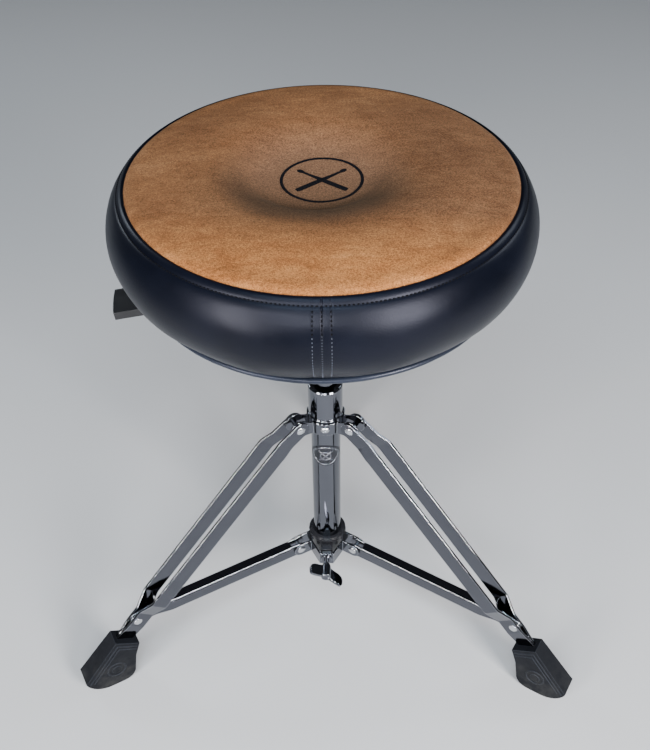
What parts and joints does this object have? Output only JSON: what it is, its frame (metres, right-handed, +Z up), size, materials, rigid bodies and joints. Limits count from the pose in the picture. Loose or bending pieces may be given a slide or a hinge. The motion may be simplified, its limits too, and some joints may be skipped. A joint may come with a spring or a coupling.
{
  "type": "drum throne",
  "caption": "Round padded drum throne with a dished suede top on a gas lift and a chrome double-braced folding tripod with rubber feet.",
  "frame": {"origin": "on the floor under the column's axis, midway between the three feet", "axes": "+Z up along the column, rear leg along +Y, release lever towards -X"},
  "size_m": [0.5626, 0.508, 0.5876],
  "materials": {
    "chrome": "polished chrome plate on steel tube and sheet",
    "plain_steel": "bare hardened steel",
    "black_steel": "satin black powder coat",
    "nylon": "black nylon",
    "badge": "dark badge with a plain ring",
    "plywood": "birch plywood",
    "foam": "moulded polyurethane foam",
    "vinyl": "black upholstery vinyl, fine grain, soft sheen",
    "suede": "tan suede with a short brushed nap",
    "piping": "black vinyl welt",
    "dust_cloth": "black non-woven dust cloth",
    "grip": "black moulded plastic",
    "rubber": "matt black moulded rubber"
  },
  "bodies": {
    "column": {"center_tube": "chrome", "top_collar": "chrome", "guide_bushing": "nylon", "badge_plate": "badge", "bracket_front": "chrome", "bracket_left": "chrome", "bracket_right": "chrome", "bracket_screws": "chrome", "bracket_pins": "chrome", "base_plug": "nylon", "bearing_race_lower": "plain_steel", "bearing_balls": "plain_steel"},
    "gas_rod": {"piston_rod": "chrome", "piston_head": "plain_steel", "bearing_race_upper": "plain_steel", "rod_clip": "plain_steel"},
    "seat": {"gas_cylinder": "chrome", "cylinder_gland": "nylon", "lift_housing": "black_steel", "seat_plate": "black_steel", "plate_bolts": "black_steel", "bolt_washers": "black_steel", "tee_nuts": "plain_steel", "seat_board": "plywood", "foam_core": "foam", "side_band": "vinyl", "suede_top": "suede", "seat_piping": "piping", "dust_cover": "dust_cloth", "lever_pin": "plain_steel"},
    "release_lever": {"lever_arm": "black_steel", "lever_grip": "grip"},
    "valve_pin": {"release_pin": "chrome"},
    "left_leg": {"left_strip_near": "chrome", "left_strip_far": "chrome", "left_foot": "rubber", "left_leg_rivets": "chrome"},
    "right_leg": {"right_strip_near": "chrome", "right_strip_far": "chrome", "right_foot": "rubber", "right_leg_rivets": "chrome"},
    "rear_leg": {"rear_strip_near": "chrome", "rear_strip_far": "chrome", "rear_foot": "rubber", "rear_leg_rivets": "chrome"},
    "slider": {"slider_front": "chrome", "slider_left": "chrome", "slider_right": "chrome", "slider_bush": "nylon", "slider_rivets": "chrome", "clamp_nut": "plain_steel", "clamp_block": "nylon", "clamp_washer": "chrome"},
    "left_brace_arm": {"left_brace": "chrome"},
    "right_brace_arm": {"right_brace": "chrome"},
    "rear_brace_arm": {"rear_brace": "chrome"},
    "clamp_screw": {"wing_bolt": "chrome"}
  },
  "joints": [
    {"name": "seat_swivel", "type": "hinge", "parent": "column", "child": "gas_rod", "pos_m": [0, 0, 0.1], "axis": [0, 0, 1], "continuous": true},
    {"name": "gas_lift", "type": "slide", "parent": "gas_rod", "child": "seat", "axis": [0, 0, 1], "range_m": [-0.115, 0.022]},
    {"name": "lever_lift", "type": "hinge", "parent": "seat", "child": "release_lever", "pos_m": [-0.02176, -0.00325, 0.479], "axis": [-0.1478, 0.989, 0], "range_deg": [0, 5], "stiffness_Nm_per_rad": 2, "springref_deg": -1.72},
    {"name": "valve_press", "type": "slide", "parent": "seat", "child": "valve_pin", "axis": [0, 0, 1], "range_m": [-0.0024, 0]},
    {"name": "slider_rise", "type": "slide", "parent": "column", "child": "slider", "axis": [0, 0, 1], "range_m": [0, 0.11349]},
    {"name": "left_brace_fold", "type": "hinge", "parent": "slider", "child": "left_brace_arm", "pos_m": [-0.03369, -0.01945, 0.09], "axis": [0.5, -0.866, 0], "range_deg": [0, 85.14]},
    {"name": "left_leg_fold", "type": "hinge", "parent": "left_brace_arm", "child": "left_leg", "pos_m": [-0.21131, -0.122, 0.0865], "axis": [-0.5, 0.866, 0], "range_deg": [0, 43.14]},
    {"name": "right_brace_fold", "type": "hinge", "parent": "slider", "child": "right_brace_arm", "pos_m": [0.03369, -0.01945, 0.09], "axis": [0.5, 0.866, 0], "range_deg": [0, 85.14]},
    {"name": "right_leg_fold", "type": "hinge", "parent": "right_brace_arm", "child": "right_leg", "pos_m": [0.21131, -0.122, 0.0865], "axis": [-0.5, -0.866, 0], "range_deg": [0, 43.14]},
    {"name": "rear_brace_fold", "type": "hinge", "parent": "slider", "child": "rear_brace_arm", "pos_m": [0, 0.0389, 0.09], "axis": [-1, 0, 0], "range_deg": [0, 85.14]},
    {"name": "rear_leg_fold", "type": "hinge", "parent": "rear_brace_arm", "child": "rear_leg", "pos_m": [0, 0.244, 0.0865], "axis": [1, 0, 0], "range_deg": [0, 43.14]},
    {"name": "clamp_turn", "type": "hinge", "parent": "slider", "child": "clamp_screw", "pos_m": [0, -0.05, 0.09], "axis": [0, -1, 0], "continuous": true}
  ],
  "couplings": [
    {"joint": "valve_press", "follows": "lever_lift", "m_per_rad": -0.026},
    {"joint": "left_brace_fold", "follows": "slider_rise", "rad_per_m": 13.086},
    {"joint": "left_leg_fold", "follows": "slider_rise", "rad_per_m": 6.627},
    {"joint": "right_brace_fold", "follows": "slider_rise", "rad_per_m": 13.086},
    {"joint": "right_leg_fold", "follows": "slider_rise", "rad_per_m": 6.627},
    {"joint": "rear_brace_fold", "follows": "slider_rise", "rad_per_m": 13.086},
    {"joint": "rear_leg_fold", "follows": "slider_rise", "rad_per_m": 6.627}
  ]
}
